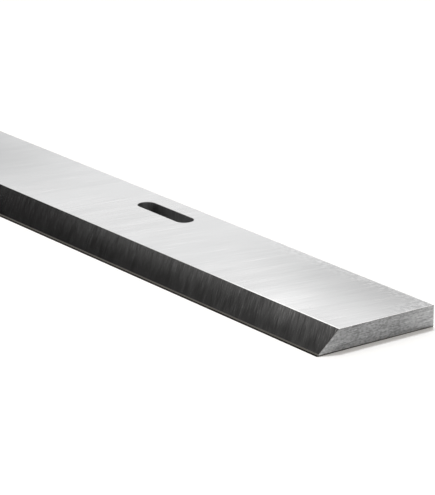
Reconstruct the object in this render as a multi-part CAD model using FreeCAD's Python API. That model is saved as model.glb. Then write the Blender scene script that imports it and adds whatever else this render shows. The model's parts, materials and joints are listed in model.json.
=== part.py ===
"""Slotted planer knife: one straight bar of hardened tool steel, ground on every face.

Millimetres. X runs along the knife, +Y points from the cutting edge to the back edge, +Z is up.
The origin is the middle of the underside. The knife lies flat, with its bevel facing up and forward.
"""

import FreeCAD, Part
import math
import os

# Driving dimensions of the bar
LENGTH = 310.0
WIDTH = 32.0
THICKNESS = 5.0

# The cutting edge: a ground bevel that ends in a narrow honed facet, angles in degrees from the underside
BEVEL_ANGLE = 40.0
HONED_ANGLE = 45.0
HONED_HEIGHT = 0.3

# The edges that an oil stone has taken the burr off
STONED_RADIUS = 0.15
UNDERSIDE_END_BREAK = 0.15

# The two through slots, with round ends, that run along the knife
SLOT_WIDTH = 4.5
SLOT_TRAVEL = 15.0
SLOT_TO_END = 89.0
SLOT_TO_BACK_EDGE = 7.2
SLOT_MOUTH_CHAMFER = 0.1

# How close a vertex lies to a plane that it belongs to
TOUCH = 1e-6

# Places worked out from the sizes above
END_X = LENGTH / 2
CUTTING_EDGE_Y = -WIDTH / 2
BACK_EDGE_Y = WIDTH / 2
HONED_TOP_Y = CUTTING_EDGE_Y + HONED_HEIGHT / math.tan(math.radians(HONED_ANGLE))
BEVEL_RISE = THICKNESS - HONED_HEIGHT
HEEL_Y = HONED_TOP_Y + BEVEL_RISE / math.tan(math.radians(BEVEL_ANGLE))
SLOT_Y = BACK_EDGE_Y - SLOT_TO_BACK_EDGE
SLOT_CENTRES_X = (-END_X + SLOT_TO_END, END_X - SLOT_TO_END)


def polygon_face(points):
    """A flat face inside a closed row of straight edges."""
    return Part.Face(Part.makePolygon(points + points[:1]))


def ground_blank():
    """The bar with its bevel and honed facet: the end view, drawn once and run along X."""
    end_view = [
        FreeCAD.Vector(-END_X, CUTTING_EDGE_Y, 0),
        FreeCAD.Vector(-END_X, BACK_EDGE_Y, 0),
        FreeCAD.Vector(-END_X, BACK_EDGE_Y, THICKNESS),
        FreeCAD.Vector(-END_X, HEEL_Y, THICKNESS),
        FreeCAD.Vector(-END_X, HONED_TOP_Y, HONED_HEIGHT),
    ]
    return polygon_face(end_view).extrude(FreeCAD.Vector(LENGTH, 0, 0))


def stays_keen(edge):
    """True for an edge that touches the cutting edge or bounds the honed facet, which is never rounded."""
    touches_cutting_edge = any(v.Y < CUTTING_EDGE_Y + TOUCH for v in edge.Vertexes)
    bounds_honed_facet = all(v.Y < HONED_TOP_Y + TOUCH for v in edge.Vertexes)
    return touches_cutting_edge or bounds_honed_facet


def stoned(blank):
    """Rounds every outer edge apart from the keen ones."""
    return blank.makeFillet(STONED_RADIUS, [edge for edge in blank.Edges if not stays_keen(edge)])


def underside_end_cutter(side):
    """A bar along Y whose slanted face breaks the lower edge of one end, side -1 or +1."""
    reach = 2 * UNDERSIDE_END_BREAK
    corner = side * END_X
    section = [
        FreeCAD.Vector(corner + side * UNDERSIDE_END_BREAK, CUTTING_EDGE_Y, -UNDERSIDE_END_BREAK),
        FreeCAD.Vector(corner - side * reach, CUTTING_EDGE_Y, -UNDERSIDE_END_BREAK),
        FreeCAD.Vector(corner + side * UNDERSIDE_END_BREAK, CUTTING_EDGE_Y, reach),
    ]
    return polygon_face(section).extrude(FreeCAD.Vector(0, WIDTH, 0))


def slot_cutter(centre_x):
    """A plug of the slot's outline, two straight sides joined by half rounds, through the full thickness."""
    radius = SLOT_WIDTH / 2
    left = centre_x - SLOT_TRAVEL / 2
    right = centre_x + SLOT_TRAVEL / 2
    front = SLOT_Y - radius
    back = SLOT_Y + radius
    front_left = FreeCAD.Vector(left, front, 0)
    front_right = FreeCAD.Vector(right, front, 0)
    back_right = FreeCAD.Vector(right, back, 0)
    back_left = FreeCAD.Vector(left, back, 0)
    right_tip = FreeCAD.Vector(right + radius, SLOT_Y, 0)
    left_tip = FreeCAD.Vector(left - radius, SLOT_Y, 0)
    outline = Part.Wire(
        [
            Part.LineSegment(front_left, front_right).toShape(),
            Part.Arc(front_right, right_tip, back_right).toShape(),
            Part.LineSegment(back_right, back_left).toShape(),
            Part.Arc(back_left, left_tip, front_left).toShape(),
        ]
    )
    return Part.Face(outline).extrude(FreeCAD.Vector(0, 0, THICKNESS))


def is_slot_mouth(edge):
    """True for an edge where a slot breaks through the top or the underside."""
    box = edge.BoundBox
    flat = box.ZLength < TOUCH
    within_y = SLOT_Y - SLOT_WIDTH < box.YMin and box.YMax < SLOT_Y + SLOT_WIDTH
    within_x = box.XLength < SLOT_TRAVEL + SLOT_WIDTH
    return flat and within_y and within_x


def planer_knife():
    """The finished knife as one solid."""
    knife = stoned(ground_blank())
    for side in (-1, 1):
        knife = knife.cut(underside_end_cutter(side))
    for centre_x in SLOT_CENTRES_X:
        knife = knife.cut(slot_cutter(centre_x))
    mouths = [edge for edge in knife.Edges if is_slot_mouth(edge)]
    return knife.makeChamfer(SLOT_MOUTH_CHAMFER, mouths).Solids[0]


os.makedirs("parts", exist_ok=True)
knife = planer_knife()
knife.exportStep("parts/planer_knife.step")
print("planer_knife: volume", round(knife.Volume, 1), "mm3,", len(knife.Faces), "faces, valid", knife.isValid())
print("bevel run", round(HEEL_Y - CUTTING_EDGE_Y, 3), "mm, slot centres", SLOT_CENTRES_X, "at y", SLOT_Y)
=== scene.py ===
# %% [markdown]
# # A ground steel planer knife
#
# The object is one bar of hardened tool steel. Its shape is exact already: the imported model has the
# bevel, the honed facet along the cutting edge, the rounded burr lines and the two slots. A mesh laid
# over it could only repeat it less exactly, so nothing is modelled here. This lesson is about the other
# half of a metal object: what a grinding wheel leaves on each face, and what the steel has round it to
# reflect.

# %% Load the fixed model
import bpy
import json
import math
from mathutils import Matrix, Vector


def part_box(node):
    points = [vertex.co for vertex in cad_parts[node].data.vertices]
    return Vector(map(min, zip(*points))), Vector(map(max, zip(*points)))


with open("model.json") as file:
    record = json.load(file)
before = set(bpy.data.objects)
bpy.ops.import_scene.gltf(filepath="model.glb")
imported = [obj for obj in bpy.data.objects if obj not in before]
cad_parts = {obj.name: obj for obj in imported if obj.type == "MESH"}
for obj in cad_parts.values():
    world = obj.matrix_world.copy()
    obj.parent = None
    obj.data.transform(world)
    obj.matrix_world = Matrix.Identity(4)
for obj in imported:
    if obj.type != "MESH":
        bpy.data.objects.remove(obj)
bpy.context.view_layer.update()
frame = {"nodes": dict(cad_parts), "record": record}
knife = frame["nodes"]["planer_knife"]
scene = bpy.context.scene

# %% [markdown]
# ## Sizes, read from the model
#
# The finish of each face starts and stops at the knife's edges, so the material needs to know where they
# are. They could be typed in, but a knife of another size would then get its finish in the wrong places.
# So they are measured, from the knife's box, from its faces and from the slots that its record states.
# The material works in millimetres, because its marks are a fraction of one.

# %% Measure the knife in millimetres
MM = 0.001
low, high = (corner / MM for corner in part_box("planer_knife"))
END_X = high.x
BACK_EDGE_Y = high.y
TOP_Z = high.z
slots = next(mount for mount in frame["record"]["mounts"] if mount["name"] == "slots")
SLOT_X = slots["dims"]["spacing_x_mm"] / 2
SLOT_Y = slots["pos_m"][1] / MM
SLOT_HALF_LENGTH = slots["dims"]["slot_length_mm"] / 2
SLOT_HALF_WIDTH = slots["dims"]["hole_r_mm"]
print("slots at x", SLOT_X, "and", -SLOT_X, "y", round(SLOT_Y, 3))

# %% Find the bevel, the largest face that looks forward and up
LEAST_LEAN = 0.3
faces = knife.data.polygons
sloping = [face for face in faces if min(-face.normal.y, face.normal.z) > LEAST_LEAN]
bevel = max(sloping, key=lambda face: face.area)
BEVEL_NORMAL = bevel.normal.copy()
BEVEL_OFFSET = BEVEL_NORMAL.dot(bevel.center / MM)
BEVEL_FOOT_Z = min(knife.data.vertices[i].co.z for i in bevel.vertices) / MM
bevel_angle = math.degrees(math.acos(BEVEL_NORMAL.z))
print("bevel rises", round(bevel_angle, 2), "degrees, from z", round(BEVEL_FOOT_Z, 3))

# %% [markdown]
# ## The camera
#
# The photograph was taken with a long lens, from beyond the near end and in front of the cutting edge, so
# the far end hardly shrinks. A camera can be placed by eye, but then some edges always miss by a few
# pixels. This one was worked out from the knife's straight edges and its slot: it is level and looks down
# by eighteen degrees. It has no depth of field, so that the whole finish can be judged.

# %% Place the camera
FOCAL_LENGTH = 210.52
CAMERA_PLACE = Vector((0.59907, -0.37170, 0.20795))
CAMERA_AIM = Vector((-0.76392, 0.56726, -0.30765))
camera_data = bpy.data.cameras.new("camera")
camera_data.lens = FOCAL_LENGTH
camera_data.clip_start = 0.01
camera_data.clip_end = 200
camera = bpy.data.objects.new("camera", camera_data)
camera.location = CAMERA_PLACE
camera.rotation_euler = CAMERA_AIM.to_track_quat("-Z", "Y").to_euler()
scene.collection.objects.link(camera)
scene.camera = camera
print("camera", tuple(round(v, 3) for v in camera.location), "lens", camera_data.lens)

# %% [markdown]
# ## The floor
#
# The knife lies on a white table with no visible end. A real studio sweeps paper up behind the object.
# Seen from this high, one broad flat sheet does the same, and in the low views it meets the white of the
# air behind it.

# %% Lay the floor
FLOOR_HALF = 60.0
bpy.ops.object.select_all(action="DESELECT")
bpy.ops.mesh.primitive_plane_add(size=2 * FLOOR_HALF, location=(0, 0, low.z * MM))
floor = bpy.context.active_object
floor.name = "floor"
bpy.ops.object.transform_apply(location=True)
print("floor", tuple(round(v, 1) for v in floor.dimensions))

# %% [markdown]
# The paper is lit like anything else, so it keeps the knife's shadow. In the photograph it is so bright
# that no grey is left in it. A stronger lamp would do that, but it would also burn out the steel. So a
# little of the paper's white is its own, and only where the camera sees it, directly or in the steel.
#
# A material is a tree of nodes. Made by hand, each node is added, set and wired. In code a helper does
# that in one call: a value that is a socket is wired, and any other value is typed in.

# %% Helpers that add a node in one call
def feed(tree, socket, value):
    """Wires a socket to value, or types value into it."""
    if isinstance(value, bpy.types.NodeSocket):
        tree.links.new(value, socket)
    else:
        socket.default_value = value


def math_node(tree, operation, *values, clamp=False):
    """One Math node, as its output."""
    node = tree.nodes.new("ShaderNodeMath")
    node.operation = operation
    node.use_clamp = clamp
    for socket, value in zip(node.inputs, values):
        feed(tree, socket, value)
    return node.outputs[0]


# %% Make the paper
PAPER_WHITE = (0.96, 0.955, 0.94, 1)
PAPER_ROUGHNESS = 0.9
PAPER_OWN_WHITE = 0.05


def make_paper():
    """Matt white paper."""
    material = bpy.data.materials.new("white_paper")
    material.use_nodes = True
    tree = material.node_tree
    shader = tree.nodes["Principled BSDF"]
    shader.inputs["Base Color"].default_value = PAPER_WHITE
    shader.inputs["Roughness"].default_value = PAPER_ROUGHNESS
    shader.inputs["Specular IOR Level"].default_value = 0.0
    shader.inputs["Emission Color"].default_value = PAPER_WHITE
    path = tree.nodes.new("ShaderNodeLightPath").outputs
    seen = math_node(tree, "ADD", path["Is Camera Ray"], path["Is Glossy Ray"])
    seen = math_node(tree, "ADD", seen, path["Is Transmission Ray"], clamp=True)
    tree.links.new(math_node(tree, "MULTIPLY", seen, PAPER_OWN_WHITE), shader.inputs["Emission Strength"])
    print("paper has", len(tree.nodes), "nodes")
    return material


floor.data.materials.append(make_paper())

# %% [markdown]
# ## The air round the table
#
# Polished metal has no colour of its own to show: it shows what it reflects. A photographer lights it by
# choosing what stands round it, and the world does the same here. The top of the knife mirrors the air
# low over the far side of the table, and it is bright because a white wall stands there. The bevel leans
# forward, so it mirrors a place higher up and further to the left, beside a black card, and comes out
# dark. Between the two hangs a bright panel, for the rounded edges. A dim warm dome closes the air above
# the wall. Real cards and panels would be objects that show in the other views. Painted by direction into
# the world, they are seen in the steel alone, apart from a low view that looks right at them, and there
# the foot of the wall stays white.

# %% Helpers for directions and for soft steps
def vector_math(tree, operation, first, second, output=0):
    """One Vector Math node, as the output asked for."""
    node = tree.nodes.new("ShaderNodeVectorMath")
    node.operation = operation
    feed(tree, node.inputs[0], first)
    feed(tree, node.inputs["Scale"] if operation == "SCALE" else node.inputs[1], second)
    return node.outputs[output]


def split(tree, vector):
    """The X, Y and Z of a vector."""
    node = tree.nodes.new("ShaderNodeSeparateXYZ")
    feed(tree, node.inputs[0], vector)
    return node.outputs


def join(tree, x, y, z):
    """A vector from three numbers."""
    node = tree.nodes.new("ShaderNodeCombineXYZ")
    for socket, value in zip(node.inputs, (x, y, z)):
        feed(tree, socket, value)
    return node.outputs[0]


def fade(tree, value, start, end, at_start=0.0, at_end=1.0):
    """Goes smoothly from at_start to at_end as value goes from start to end."""
    node = tree.nodes.new("ShaderNodeMapRange")
    node.interpolation_type = "SMOOTHSTEP"
    for socket, item in zip(node.inputs, (value, start, end, at_start, at_end)):
        feed(tree, socket, item)
    return node.outputs[0]


def mix(tree, amount, first, second):
    """Goes from first to second as amount goes from 0 to 1, for plain numbers."""
    node = tree.nodes.new("ShaderNodeMix")
    for name, value in (("Factor", amount), ("A", first), ("B", second)):
        feed(tree, node.inputs[name], value)
    return node.outputs[0]


# %% Directions and soft round areas of the sky
def sky_direction(side_degrees, height_degrees):
    """The unit vector to a place in the sky, by its angle from +X and its height above the horizon."""
    turn = math.radians(side_degrees)
    lift = math.radians(height_degrees)
    return Vector((math.cos(lift) * math.cos(turn), math.cos(lift) * math.sin(turn), math.sin(lift)))


def sky_patch(tree, direction, centre, inner_degrees, outer_degrees):
    """1 within inner_degrees of the centre, and 0 outside outer_degrees."""
    closeness = vector_math(tree, "DOT_PRODUCT", direction, centre, output=1)
    start = math.cos(math.radians(outer_degrees))
    end = math.cos(math.radians(inner_degrees))
    return fade(tree, closeness, start, end)


def above(tree, height, degrees):
    """Goes from 0 to 1 between two heights above the horizon."""
    return fade(tree, height, *(math.sin(math.radians(angle)) for angle in degrees))


# %% Paint the wall, the dome, the bright panel and the black card
WALL_TONE = 1.0
WALL_FOOT = (2.5, 6)
WALL_TOP = (22, 33)
DOME_TONE = 0.45
DOME_COLOUR = (1.0, 0.95, 0.9)
PANEL = {"side": 140, "height": 45, "inner": 10, "outer": 26, "tone": 1.7}
CARD = {"side": 187, "height": 26, "inner": 6, "outer": 26, "tone": 0.0}


def make_air():
    """A white wall all round, a dim dome over it, a bright panel behind the knife and a black card."""
    world = bpy.data.worlds.new("studio_air")
    world.use_nodes = True
    tree = world.node_tree
    direction = tree.nodes.new("ShaderNodeTexCoord").outputs["Generated"]
    height = split(tree, direction)[2]
    above_foot = above(tree, height, WALL_FOOT)
    overhead = above(tree, height, WALL_TOP)
    tone = mix(tree, overhead, WALL_TONE, DOME_TONE)
    for area in (PANEL, CARD):
        centre = sky_direction(area["side"], area["height"])
        patch = sky_patch(tree, direction, centre, area["inner"], area["outer"])
        tone = mix(tree, math_node(tree, "MULTIPLY", patch, above_foot), tone, area["tone"])
    tree.links.new(tone, tree.nodes["Background"].inputs["Strength"])
    colour = join(tree, *(mix(tree, overhead, 1.0, channel) for channel in DOME_COLOUR))
    tree.links.new(colour, tree.nodes["Background"].inputs["Color"])
    print("air has", len(tree.nodes), "nodes")
    return world


scene.world = make_air()

# %% [markdown]
# ## The lamp
#
# One large soft light hangs high behind the knife. It gives the table half of its white, and because it
# comes from behind, it leaves the narrow soft shadow that the photograph has under the near end. An area
# lamp would light the table unevenly, with a bright pool under it. A sun lamp lights all of it alike, and
# its angle sets how large the light seems, which makes the shadow's soft edge.

# %% Hang the soft light
LAMP_SIDE = 142
LAMP_HEIGHT = 65
LAMP_SPREAD = 9
LAMP_STRENGTH = 1.6
LAMP_COLOUR = (0.97, 1.0, 1.04)
lamp_data = bpy.data.lights.new("soft_light", "SUN")
lamp_data.angle = math.radians(LAMP_SPREAD)
lamp_data.energy = LAMP_STRENGTH
lamp_data.color = LAMP_COLOUR
lamp = bpy.data.objects.new("soft_light", lamp_data)
toward_lamp = sky_direction(LAMP_SIDE, LAMP_HEIGHT)
lamp.rotation_euler = (-toward_lamp).to_track_quat("-Z", "Y").to_euler()
lamp.location = toward_lamp
scene.collection.objects.link(lamp)
print("soft light from", tuple(round(v, 2) for v in toward_lamp))

# %% [markdown]
# ## Where an edge is near
#
# Stoning and handling polish the last fraction of a millimetre of every face, so edges catch the light as
# thin bright lines. Blender can find edges by shooting rays inside the solid, with its Bevel or Ambient
# Occlusion node, but that is slow and grainy. This knife is bounded by flat planes, which gives an easy
# exact measure: every point of its skin lies on one plane, and a point that is also close to a second
# plane is near an edge. The group adds up how close each plane is and takes one away.
#
# It is a node group because that gives an effect a name and a few named inputs. Whoever makes another
# steel can place it again with other values.

# %% Helpers for node groups
def new_group(name, inputs, outputs):
    """An empty node group with named number or vector sockets: its tree, and its inputs by name."""
    tree = bpy.data.node_groups.new(name, "ShaderNodeTree")
    for socket, default in inputs.items():
        kind = "NodeSocketVector" if default is None else "NodeSocketFloat"
        made = tree.interface.new_socket(socket, in_out="INPUT", socket_type=kind)
        if default is not None:
            made.default_value = default
    for socket in outputs:
        tree.interface.new_socket(socket, in_out="OUTPUT", socket_type="NodeSocketFloat")
    return tree, tree.nodes.new("NodeGroupInput").outputs


def close_group(tree, **results):
    """Wires the results to the group's outputs, by name."""
    ends = tree.nodes.new("NodeGroupOutput").inputs
    for name, value in results.items():
        tree.links.new(value, ends[name.replace("_", " ")])
    print("group", tree.name, "has", len(tree.nodes), "nodes")


def use_group(tree, group, **values):
    """Places a group in a tree, sets its inputs by name, and gives its outputs."""
    node = tree.nodes.new("ShaderNodeGroup")
    node.node_tree = group
    for name, value in values.items():
        feed(tree, node.inputs[name.replace("_", " ")], value)
    return node.outputs


# %% Group: how near is the closest edge
def make_edge_group():
    """The position in millimetres goes in, and a mask comes out that is 1 at an edge and 0 a Reach away."""
    tree, ends = new_group("edge_nearness", {"Position": None, "Reach": 0.3}, ["Nearness"])
    x, y, z = split(tree, ends["Position"])
    bevel_depth = vector_math(tree, "DOT_PRODUCT", ends["Position"], -BEVEL_NORMAL, output=1)
    depths = [
        math_node(tree, "SUBTRACT", END_X, math_node(tree, "ABSOLUTE", x)),
        math_node(tree, "SUBTRACT", BACK_EDGE_Y, y),
        math_node(tree, "SUBTRACT", TOP_Z, z),
        z,
        math_node(tree, "ADD", bevel_depth, BEVEL_OFFSET),
    ]
    total = -1.0
    for depth in depths:
        total = math_node(tree, "ADD", total, fade(tree, depth, 0.0, ends["Reach"], 1.0, 0.0))
    close_group(tree, Nearness=math_node(tree, "MAXIMUM", total, 0.0, clamp=True))
    return tree


edge_nearness = make_edge_group()

# %% [markdown]
# ## The marks of the wheel
#
# A grinding wheel leaves thousands of fine parallel furrows. Cutting them into the mesh would take
# millions of triangles, and a Wave texture makes them too regular. They are long and narrow, so a noise
# texture that is squeezed across the furrows and stretched along them looks like them. Three sizes are
# laid over each other: broad soft bands, clear lines, and hairs. Where a hair is strongest it counts as a
# scratch, which shines. The material turns the pattern for each face before it goes in, so that X always
# runs across the furrows and Y along them.

# %% Group: furrows of a grinding wheel
FURROW_LAYERS = {
    "bands": {"width": 5.0, "length": 3.0, "seed": 3.7, "detail": 2.0, "tone": 2.0},
    "lines": {"width": 1.0, "length": 1.0, "seed": 11.3, "detail": 3.0, "tone": 2.5},
    "hairs": {"width": 0.4, "length": 0.8, "seed": 23.9, "detail": 2.0, "tone": 2.5},
}
NOISE_MIDDLE = 0.5
HAIR_HEIGHT = 0.5
SCRATCH_FROM = (0.12, 0.24)


def noise(tree, vector, detail, roughness=0.5):
    """A Noise texture's grey value, in cells about one unit across."""
    node = tree.nodes.new("ShaderNodeTexNoise")
    for name, value in (("Vector", vector), ("Scale", 1.0), ("Detail", detail), ("Roughness", roughness)):
        feed(tree, node.inputs[name], value)
    return node.outputs[0]


def furrow_layer(tree, ends, layer):
    """Noise around 0, in cells that are the layer's shares of the furrow's width and length."""
    across, along, depth = split(tree, ends["Across and along"])
    width = math_node(tree, "MULTIPLY", ends["Width"], layer["width"])
    length = math_node(tree, "MULTIPLY", ends["Length"], layer["length"])
    cell_x = math_node(tree, "DIVIDE", across, width)
    cell_y = math_node(tree, "DIVIDE", along, length)
    cell_z = math_node(tree, "ADD", math_node(tree, "DIVIDE", depth, length), layer["seed"])
    cloud = noise(tree, join(tree, cell_x, cell_y, cell_z), layer["detail"])
    return math_node(tree, "SUBTRACT", cloud, NOISE_MIDDLE)


def make_furrow_group():
    """Takes the place across and along the furrows. Gives Tone around 0, Scratch and Height from 0 to 1."""
    inputs = {"Across and along": None, "Width": 1.0, "Length": 14.0}
    tree, ends = new_group("wheel_furrows", inputs, ["Tone", "Scratch", "Height"])
    clouds = {name: furrow_layer(tree, ends, layer) for name, layer in FURROW_LAYERS.items()}
    tone = 0.0
    for name, cloud in clouds.items():
        tone = math_node(tree, "MULTIPLY_ADD", cloud, FURROW_LAYERS[name]["tone"], tone)
    scratch = fade(tree, clouds["hairs"], *SCRATCH_FROM)
    height = math_node(tree, "ADD", clouds["lines"], NOISE_MIDDLE)
    height = math_node(tree, "MULTIPLY_ADD", clouds["hairs"], HAIR_HEIGHT, height)
    close_group(tree, Tone=tone, Scratch=scratch, Height=height)
    return tree


wheel_furrows = make_furrow_group()

# %% [markdown]
# ## Haze, scuffs and specks
#
# A knife that has been picked up and wiped is never evenly bright. A thin film of oil dulls it in wide
# soft patches, its corners have small scuffs, and its sawn ends are speckled. All three are patches with
# soft edges that chance has placed, and they differ mainly in size. So one group makes them from a noise
# texture, with the size as its input.

# %% Group: soft patches of any size
HAZE_DETAIL = 2.0
HAZE_ROUGHNESS = 0.45
HAZE_FROM = (0.4, 0.68)


def make_haze_group():
    """Position in millimetres and the size of a patch go in, and a soft mask comes out."""
    tree, ends = new_group("handling_haze", {"Position": None, "Patch": 40.0}, ["Haze"])
    cells = vector_math(tree, "SCALE", ends["Position"], math_node(tree, "DIVIDE", 1.0, ends["Patch"]))
    cloud = noise(tree, cells, HAZE_DETAIL, HAZE_ROUGHNESS)
    close_group(tree, Haze=fade(tree, cloud, *HAZE_FROM))
    return tree


handling_haze = make_haze_group()


def patches(tree, position, size):
    """Soft patches about this many millimetres across, 1 on a patch and 0 between them."""
    return use_group(tree, handling_haze, Position=position, Patch=size)["Haze"]


# %% [markdown]
# ## One steel, several faces
#
# It is one piece of steel, so it has one material. What differs is the finish of its faces: the two wide
# faces are surface ground across the knife, the bevel is ground at a slant, the ends are cut off and
# dressed, and the slots are milled and never ground, with a dark tone in them that is partly painted
# shade. Along the foot of the bevel runs the burr ridge of the honed facet. Where the steel meets the
# table, a thin dark line of painted shade stands in for the contact shadow, and it fades toward the back
# edge.
#
# Each face could have a material slot of its own, but the model has one. So a mask for each face is
# worked out from the direction that a point looks in and, for the rest, from where it is.

# %% Masks for the slots and for the two thin lines
SLOT_RIM = 0.6
RIDGE_WIDTH = 0.2
# The contact-shade line is painted shade: a nearly black tone where the steel meets the table, in place of
# the contact shadow.
CONTACT_SHADE_LINE = 0.36
CONTACT_SHADE_SOLID = 0.65
CONTACT_SHADE_AT_BACK = 0.55
FACET_SHARE = 0.8
SQUARE_ON = 0.9


def times(tree, *values):
    """All the values multiplied together."""
    total, *others = values
    for value in others:
        total = math_node(tree, "MULTIPLY", total, value)
    return total


def slot_mask(tree, x, y, facing_up):
    """1 on the walls of the slots and on their mouths' chamfers."""
    beside = math_node(tree, "COMPARE", math_node(tree, "ABSOLUTE", x), SLOT_X, SLOT_HALF_LENGTH + SLOT_RIM)
    level = math_node(tree, "COMPARE", y, SLOT_Y, SLOT_HALF_WIDTH + SLOT_RIM)
    upright = math_node(tree, "COMPARE", facing_up, 0.0, SQUARE_ON)
    return times(tree, beside, level, upright)


def ridge_mask(tree, z):
    """1 low on the bevel, where the honed facet starts."""
    return fade(tree, z, BEVEL_FOOT_Z + RIDGE_WIDTH / 2, BEVEL_FOOT_Z + RIDGE_WIDTH, 1.0, 0.0)


def contact_shade_mask(tree, y, z, end, facing_up):
    """Painted shade: 1 just over the table, less toward the back. The facet leans back, so its line is
    lower.
    """
    top = mix(tree, end, CONTACT_SHADE_LINE * FACET_SHARE, CONTACT_SHADE_LINE)
    line = fade(tree, z, math_node(tree, "MULTIPLY", top, CONTACT_SHADE_SOLID), top, 1.0, 0.0)
    above_underside = math_node(tree, "GREATER_THAN", facing_up, -SQUARE_ON)
    return times(tree, line, above_underside, fade(tree, y, -BACK_EDGE_Y, BACK_EDGE_Y, 1.0, CONTACT_SHADE_AT_BACK))


# %% Masks for all the faces
END_SQUARE_ON = 0.35
BEVEL_SQUARE_ON = 0.99


def face_masks(tree, position, normal):
    """A mask from 0 to 1 for each kind of face, by name. A later one lies over an earlier one."""
    x, y, z = split(tree, position)
    facing_x, facing_y, facing_up = split(tree, normal)
    slot = slot_mask(tree, x, y, facing_up)
    outside = math_node(tree, "SUBTRACT", 1.0, slot)
    end = math_node(tree, "GREATER_THAN", math_node(tree, "ABSOLUTE", facing_x), END_SQUARE_ON)
    back = math_node(tree, "GREATER_THAN", facing_y, SQUARE_ON)
    bevel_match = vector_math(tree, "DOT_PRODUCT", normal, BEVEL_NORMAL, output=1)
    on_bevel = math_node(tree, "GREATER_THAN", bevel_match, BEVEL_SQUARE_ON)
    return {
        "slot": slot,
        "end": times(tree, end, outside),
        "back": times(tree, back, outside),
        "bevel": on_bevel,
        "ridge": times(tree, ridge_mask(tree, z), on_bevel),
        "foot": contact_shade_mask(tree, y, z, end, facing_up),
    }


def plain_share(tree, masks):
    """1 on the wide faces and the rounded edges, and 0 on the faces that have a mask of their own."""
    share = 1.0
    for mask in masks.values():
        share = math_node(tree, "SUBTRACT", share, mask, clamp=True)
    return share


# %% [markdown]
# ## The finish of each face
#
# Every face has a tone, a roughness and furrows of its own width and length, in millimetres. The contrast
# says how much the furrows change the tone. They are listed side by side, because they are tuned against
# each other: what makes the knife look ground is the step from one face to the next.

# %% List the finishes
FINISHES = {
    "wide": {"tone": 0.647, "roughness": 0.22, "contrast": 0.038, "width": 0.7, "length": 12.0},
    # The slots' dark tone is partly their milled finish and partly painted shade in the recess.
    "slot": {"tone": 0.17, "roughness": 0.5, "contrast": 0.2, "width": 0.6, "length": 3.0},
    "end": {"tone": 0.272, "roughness": 0.42, "contrast": 0.31, "width": 0.34, "length": 4.0},
    "back": {"tone": 0.5, "roughness": 0.34, "contrast": 0.15, "width": 0.5, "length": 8.0},
    "bevel": {"tone": 0.47, "roughness": 0.18, "contrast": 0.38, "width": 0.42, "length": 3.6},
    "ridge": {"tone": 0.33, "roughness": 0.6, "contrast": 0.2, "width": 0.45, "length": 4.0},
    # The contact-shade line is painted shade, nearly black, where the steel meets the table.
    "foot": {"tone": 0.025, "roughness": 0.5, "contrast": 0.1, "width": 0.5, "length": 4.0},
}
print("faces with a finish:", ", ".join(FINISHES))


def by_face(tree, masks, quality):
    """The finish of the wide faces, changed to each other face's own value where its mask is 1."""
    value = FINISHES["wide"][quality]
    for face, mask in masks.items():
        value = mix(tree, mask, value, FINISHES[face][quality])
    return value


# %% [markdown]
# The furrows are turned by sliding: a point's place across them is its X plus a share of its Y. That
# slants them a little on the wide faces, and by some 30 degrees on the bevel, where a cup wheel sweeps
# across at a slant. On the ends and the back edge they run level, so there the pattern takes Z across.

# %% Lay the furrows on each face
FACE_SLANT = -0.12
BEVEL_SLANT = 0.77


def furrow_place(tree, position, masks):
    """Position laid so that X runs across the furrows of the face it is on, and Y along them."""
    x, y, z = split(tree, position)
    slant = mix(tree, masks["bevel"], FACE_SLANT, BEVEL_SLANT)
    swept = math_node(tree, "MULTIPLY_ADD", y, slant, x)
    level = math_node(tree, "MAXIMUM", masks["end"], masks["back"])
    across = mix(tree, level, swept, z)
    along = mix(tree, masks["back"], y, x)
    return join(tree, across, along, z)


def lay_furrows(tree, position, masks):
    """The furrows of the whole knife, each face with its own."""
    return use_group(
        tree,
        wheel_furrows,
        Across_and_along=furrow_place(tree, position, masks),
        Width=by_face(tree, masks, "width"),
        Length=by_face(tree, masks, "length"),
    )


# %% [markdown]
# The furrows lighten and darken the tone by their contrast, and a scratch adds to it. On the bevel they
# are strong toward the ends and calm in the middle, as wear leaves them.

# %% How much the furrows change the tone
HELD_FROM = (104, 126)
BEVEL_MIDDLE = 0.5
SCRATCH_SHINE = 2.0


def held(tree, x):
    """0 in the middle of the knife and 1 toward its ends, where hands hold it."""
    return fade(tree, math_node(tree, "ABSOLUTE", x), *HELD_FROM)


def only_on(tree, mask, gain):
    """The gain where the mask is 1, and no change where it is 0."""
    return mix(tree, mask, 1.0, gain)


def furrow_marks(tree, x, masks, furrows):
    """What the furrows multiply the tone by, around 1."""
    marks = math_node(tree, "MULTIPLY_ADD", furrows["Scratch"], SCRATCH_SHINE, furrows["Tone"])
    calm = times(tree, masks["bevel"], math_node(tree, "SUBTRACT", 1.0, held(tree, x)))
    depth = times(tree, by_face(tree, masks, "contrast"), only_on(tree, calm, BEVEL_MIDDLE))
    return math_node(tree, "MULTIPLY_ADD", marks, depth, 1.0)


# %% [markdown]
# ## Painted shade and sheen in soft ovals
#
# Haze left to chance is right for most of the knife. A few patches that show clearly are put where they
# show, each as a soft oval in millimetres: a darker back corner at the near end and a darker place in the
# middle are painted shade, and a lighter place near the heel at the near end is a painted highlight.
# Painting them on an image would be quicker, but an oval has a size and a place that anyone can read and
# change.

# %% Soft ovals of painted shade and sheen on the wide faces and on the bevel
# Painted shade and a painted highlight on the wide faces: two darker ovals and one lighter.
SHADE_AND_SHEEN_OVALS = (
    {"x": 152, "y": 16, "half_x": 73, "half_y": 23, "gain": -0.4},
    {"x": -13, "y": -3, "half_x": 60, "half_y": 37, "gain": -0.34},
    {"x": 133, "y": -13, "half_x": 15, "half_y": 17, "gain": 0.2},
)
# Painted sheen: lighter ovals on the bevel toward the near end.
BEVEL_SHEEN_OVALS = (
    {"x": 85, "y": -10, "half_x": 48, "half_y": 4, "gain": 0.62},
    {"x": 137, "y": -11, "half_x": 10, "half_y": 4, "gain": 0.4},
)


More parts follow.
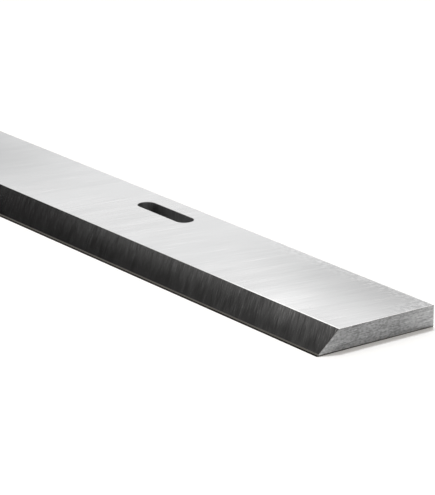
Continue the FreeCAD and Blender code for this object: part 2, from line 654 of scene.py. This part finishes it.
def soft_ovals(tree, position, ovals):
    """What the ovals together multiply the steel's tone by."""
    x, y = split(tree, position)[:2]
    total = 1.0
    for oval in ovals:
        away_x = math_node(tree, "DIVIDE", math_node(tree, "SUBTRACT", x, oval["x"]), oval["half_x"])
        away_y = math_node(tree, "DIVIDE", math_node(tree, "SUBTRACT", y, oval["y"]), oval["half_y"])
        away = vector_math(tree, "LENGTH", join(tree, away_x, away_y, 0.0), (0, 0, 0), output=1)
        total = math_node(tree, "ADD", total, fade(tree, away, 0.0, 1.0, oval["gain"], 0.0))
    return total


# %% [markdown]
# The other places follow the knife's own edges. The back corners of the wide faces are scuffed, and the
# back edge near them a little, because they take the knocks. The ends have specks from the saw, drawn out
# along its cut, and a painted sheen that makes them lighter at the tip under the bevel and toward the back
# edge, there most of all high up. The bevel has painted shade that darkens it toward its foot.

# %% The scuffed corners, and the painted sheen and shade of the ends and the bevel
SCUFF_PATCH = 0.95
SCUFF_ZONES = (
    {"from_end": (7, 0), "from_back": (14, 0), "strength": 1.0},
    {"from_end": (80, 10), "from_back": (5, 1), "strength": 0.5},
)
SCUFF_GAIN = (0.89, 1.44)
SPECK_PATCH = 0.36
SPECK_LENGTH = 1.8
SPECK_GAIN = (1.15, 0.74)
SPECKS_AT_BACK = 0.65
# Painted sheen on the ends: lighter toward the back edge and at the tip, and at the back most of all high
# up.
END_BACK_SHEEN = {"from": 2, "height": (0.5, 2.2), "gain": (1.12, 1.37)}
END_TIP_SHEEN = {"y": (-13.5, -9), "gain": 1.45}
# Painted shade: the bevel is darker toward its foot and a little lighter toward the heel.
BEVEL_SHADE_HEIGHT = (0.2, 1.1)
BEVEL_SHADE_GAIN = (0.55, 1.15)


def scuffed_corners(tree, position):
    """Small scuffs at the back corners and along the back edge, dull between them and bright on them."""
    x, y = split(tree, position)[:2]
    away_from_middle = math_node(tree, "ABSOLUTE", x)
    scuffed = 0.0
    for zone in SCUFF_ZONES:
        by_end = fade(tree, away_from_middle, *(END_X - depth for depth in zone["from_end"]))
        by_back = fade(tree, y, *(BACK_EDGE_Y - depth for depth in zone["from_back"]))
        in_zone = times(tree, by_end, by_back, zone["strength"])
        scuffed = math_node(tree, "MAXIMUM", scuffed, in_zone)
    return only_on(tree, scuffed, mix(tree, patches(tree, position, SCUFF_PATCH), *SCUFF_GAIN))


def end_specks_and_sheen(tree, position):
    """The ends' specks, weaker toward the back edge, and a painted sheen that grows toward both edges."""
    x, y, z = split(tree, position)
    drawn_out = join(tree, x, math_node(tree, "DIVIDE", y, SPECK_LENGTH), z)
    specks = mix(tree, patches(tree, drawn_out, SPECK_PATCH), *SPECK_GAIN)
    specks = only_on(tree, fade(tree, y, 0.0, BACK_EDGE_Y, 1.0, SPECKS_AT_BACK), specks)
    back_gain = fade(tree, z, *END_BACK_SHEEN["height"], *END_BACK_SHEEN["gain"])
    back = fade(tree, y, END_BACK_SHEEN["from"], BACK_EDGE_Y, 1.0, back_gain)
    tip = fade(tree, y, *END_TIP_SHEEN["y"], END_TIP_SHEEN["gain"], 1.0)
    return times(tree, specks, back, tip)


def bevel_shade_and_sheen(tree, position):
    """The bevel's ovals of painted sheen, and painted shade that darkens it toward its foot."""
    height = math_node(tree, "DIVIDE", split(tree, position)[2], TOP_Z)
    oil_and_shade = fade(tree, height, *BEVEL_SHADE_HEIGHT, *BEVEL_SHADE_GAIN)
    return times(tree, oil_and_shade, soft_ovals(tree, position, BEVEL_SHEEN_OVALS))


# %% Wear, haze, and painted shade and sheen on the steel
HAZE_PATCH = 40.0
HAZE_GAIN = (1.0, 0.94)


def wear_haze_and_painted_light(tree, position, masks, plain, haze):
    """What wear, haze, and painted shade and sheen together multiply the tone by."""
    wide = times(tree, soft_ovals(tree, position, SHADE_AND_SHEEN_OVALS), scuffed_corners(tree, position))
    return times(
        tree,
        mix(tree, haze, *HAZE_GAIN),
        only_on(tree, plain, wide),
        only_on(tree, masks["end"], end_specks_and_sheen(tree, position)),
        only_on(tree, masks["bevel"], bevel_shade_and_sheen(tree, position)),
    )


# %% [markdown]
# ## Burnished edges with a painted highlight
#
# Hands and the oil stone have rubbed the edges bright near the ends, where the knife is held while it is
# set, and the upper ones most; their bright tone is partly a painted highlight. The edge group finds the
# edges, and the small scuffs break the bright line up, because an even line looks drawn.

# %% Mask for the bright edges
# Partly rubbed steel, partly a painted highlight along the edges.
BURNISH_AND_GLINT_TONE = 0.98
BURNISH_AND_GLINT_REACH = 0.4
BURNISH_AND_GLINT_BELOW = 0.3
BURNISH_AND_GLINT_UNBROKEN = (1.0, 0.55)


def burnish_and_glint(tree, position, plain):
    """1 on an edge that is rubbed bright and given a painted highlight, and 0 elsewhere."""
    x, _, z = split(tree, position)
    edge = use_group(tree, edge_nearness, Position=position, Reach=BURNISH_AND_GLINT_REACH)["Nearness"]
    on_top = fade(tree, z, TOP_Z - 2 * BURNISH_AND_GLINT_REACH, TOP_Z - BURNISH_AND_GLINT_REACH, BURNISH_AND_GLINT_BELOW, 1.0)
    unbroken = mix(tree, patches(tree, position, SCUFF_PATCH), *BURNISH_AND_GLINT_UNBROKEN)
    return times(tree, edge, plain, held(tree, x), on_top, unbroken)


# %% [markdown]
# ## Colour, roughness and bump
#
# Clean steel is very nearly grey, with a trace of blue. The bevel has a little more of it: it mirrors the
# warm dome, and is a neutral dark grey in the photograph. The oil in the ridge and the painted shade of
# the foot line are warmer. Haze makes the steel a little rougher as well as duller, and least on the bevel.
# The furrows are also a bump, only a few thousandths of a millimetre deep, which frays the reflections
# without bending them.

# %% The colour of the steel, of the oil and of the painted shade
STEEL_TINT = (0.99, 1.0, 1.012)
BEVEL_TINT = (0.97, 1.0, 1.034)
# Brown for the oil of the ridge and for the painted shade of the contact line.
OIL_AND_SHADE_TINT = (1.05, 1.0, 0.9)


def tinted(tree, tone, masks):
    """The tone as a colour: steel grey, or brown for the oil and for the painted shade."""
    oily_and_shaded = math_node(tree, "MAXIMUM", masks["ridge"], masks["foot"])
    clean = (mix(tree, masks["bevel"], steel, bevel) for steel, bevel in zip(STEEL_TINT, BEVEL_TINT))
    tints = (mix(tree, oily_and_shaded, steel, oil_and_shade) for steel, oil_and_shade in zip(clean, OIL_AND_SHADE_TINT))
    return join(tree, *(math_node(tree, "MULTIPLY", tone, tint) for tint in tints))


# %% Roughness and bump
FURROW_ROUGHNESS = 0.03
HAZE_ADDS_ROUGHNESS = (0.05, 0.02)
FURROW_DEPTH = 0.005
BUMP_STRENGTH = 0.8


def steel_roughness(tree, masks, furrows, haze):
    """Each face's roughness, changed a little by the furrows and the haze."""
    roughness = by_face(tree, masks, "roughness")
    roughness = math_node(tree, "MULTIPLY_ADD", furrows["Tone"], FURROW_ROUGHNESS, roughness)
    return math_node(tree, "MULTIPLY_ADD", haze, mix(tree, masks["bevel"], *HAZE_ADDS_ROUGHNESS), roughness)


def furrow_bump(tree, furrows):
    """The normal that the furrows give."""
    bump = tree.nodes.new("ShaderNodeBump")
    bump.inputs["Strength"].default_value = BUMP_STRENGTH
    bump.inputs["Distance"].default_value = FURROW_DEPTH * MM
    tree.links.new(furrows["Height"], bump.inputs["Height"])
    return bump.outputs[0]


# %% [markdown]
# ## The steel
#
# Now the material only has to put the parts in order: find the face, lay its furrows, multiply its tone
# by wear, haze and painted shade and sheen, and brighten its edges with a partly painted highlight.
# Metallic is the same all over, so it is typed into the shader.

# %% Put the steel together
def make_steel():
    """Ground tool steel."""
    material = bpy.data.materials.new("ground_tool_steel")
    material.use_nodes = True
    tree = material.node_tree
    shader = tree.nodes["Principled BSDF"]
    skin = tree.nodes.new("ShaderNodeTexCoord").outputs
    position = vector_math(tree, "SCALE", skin["Object"], 1 / MM)
    masks = face_masks(tree, position, skin["Normal"])
    plain = plain_share(tree, masks)
    furrows = lay_furrows(tree, position, masks)
    haze = patches(tree, position, HAZE_PATCH)
    marks = furrow_marks(tree, split(tree, position)[0], masks, furrows)
    tone = times(tree, by_face(tree, masks, "tone"), marks, wear_haze_and_painted_light(tree, position, masks, plain, haze))
    tone = mix(tree, burnish_and_glint(tree, position, plain), tone, BURNISH_AND_GLINT_TONE)
    tree.links.new(tinted(tree, tone, masks), shader.inputs["Base Color"])
    tree.links.new(steel_roughness(tree, masks, furrows, haze), shader.inputs["Roughness"])
    shader.inputs["Metallic"].default_value = 1.0
    tree.links.new(furrow_bump(tree, furrows), shader.inputs["Normal"])
    print("steel has", len(tree.nodes), "nodes")
    return material


knife.material_slots[0].material = make_steel()

# %% [markdown]
# ## Finish
#
# The colours come out as they are written, with no film curve.

# %% Set the colours to come out as written
scene.view_settings.view_transform = "Standard"
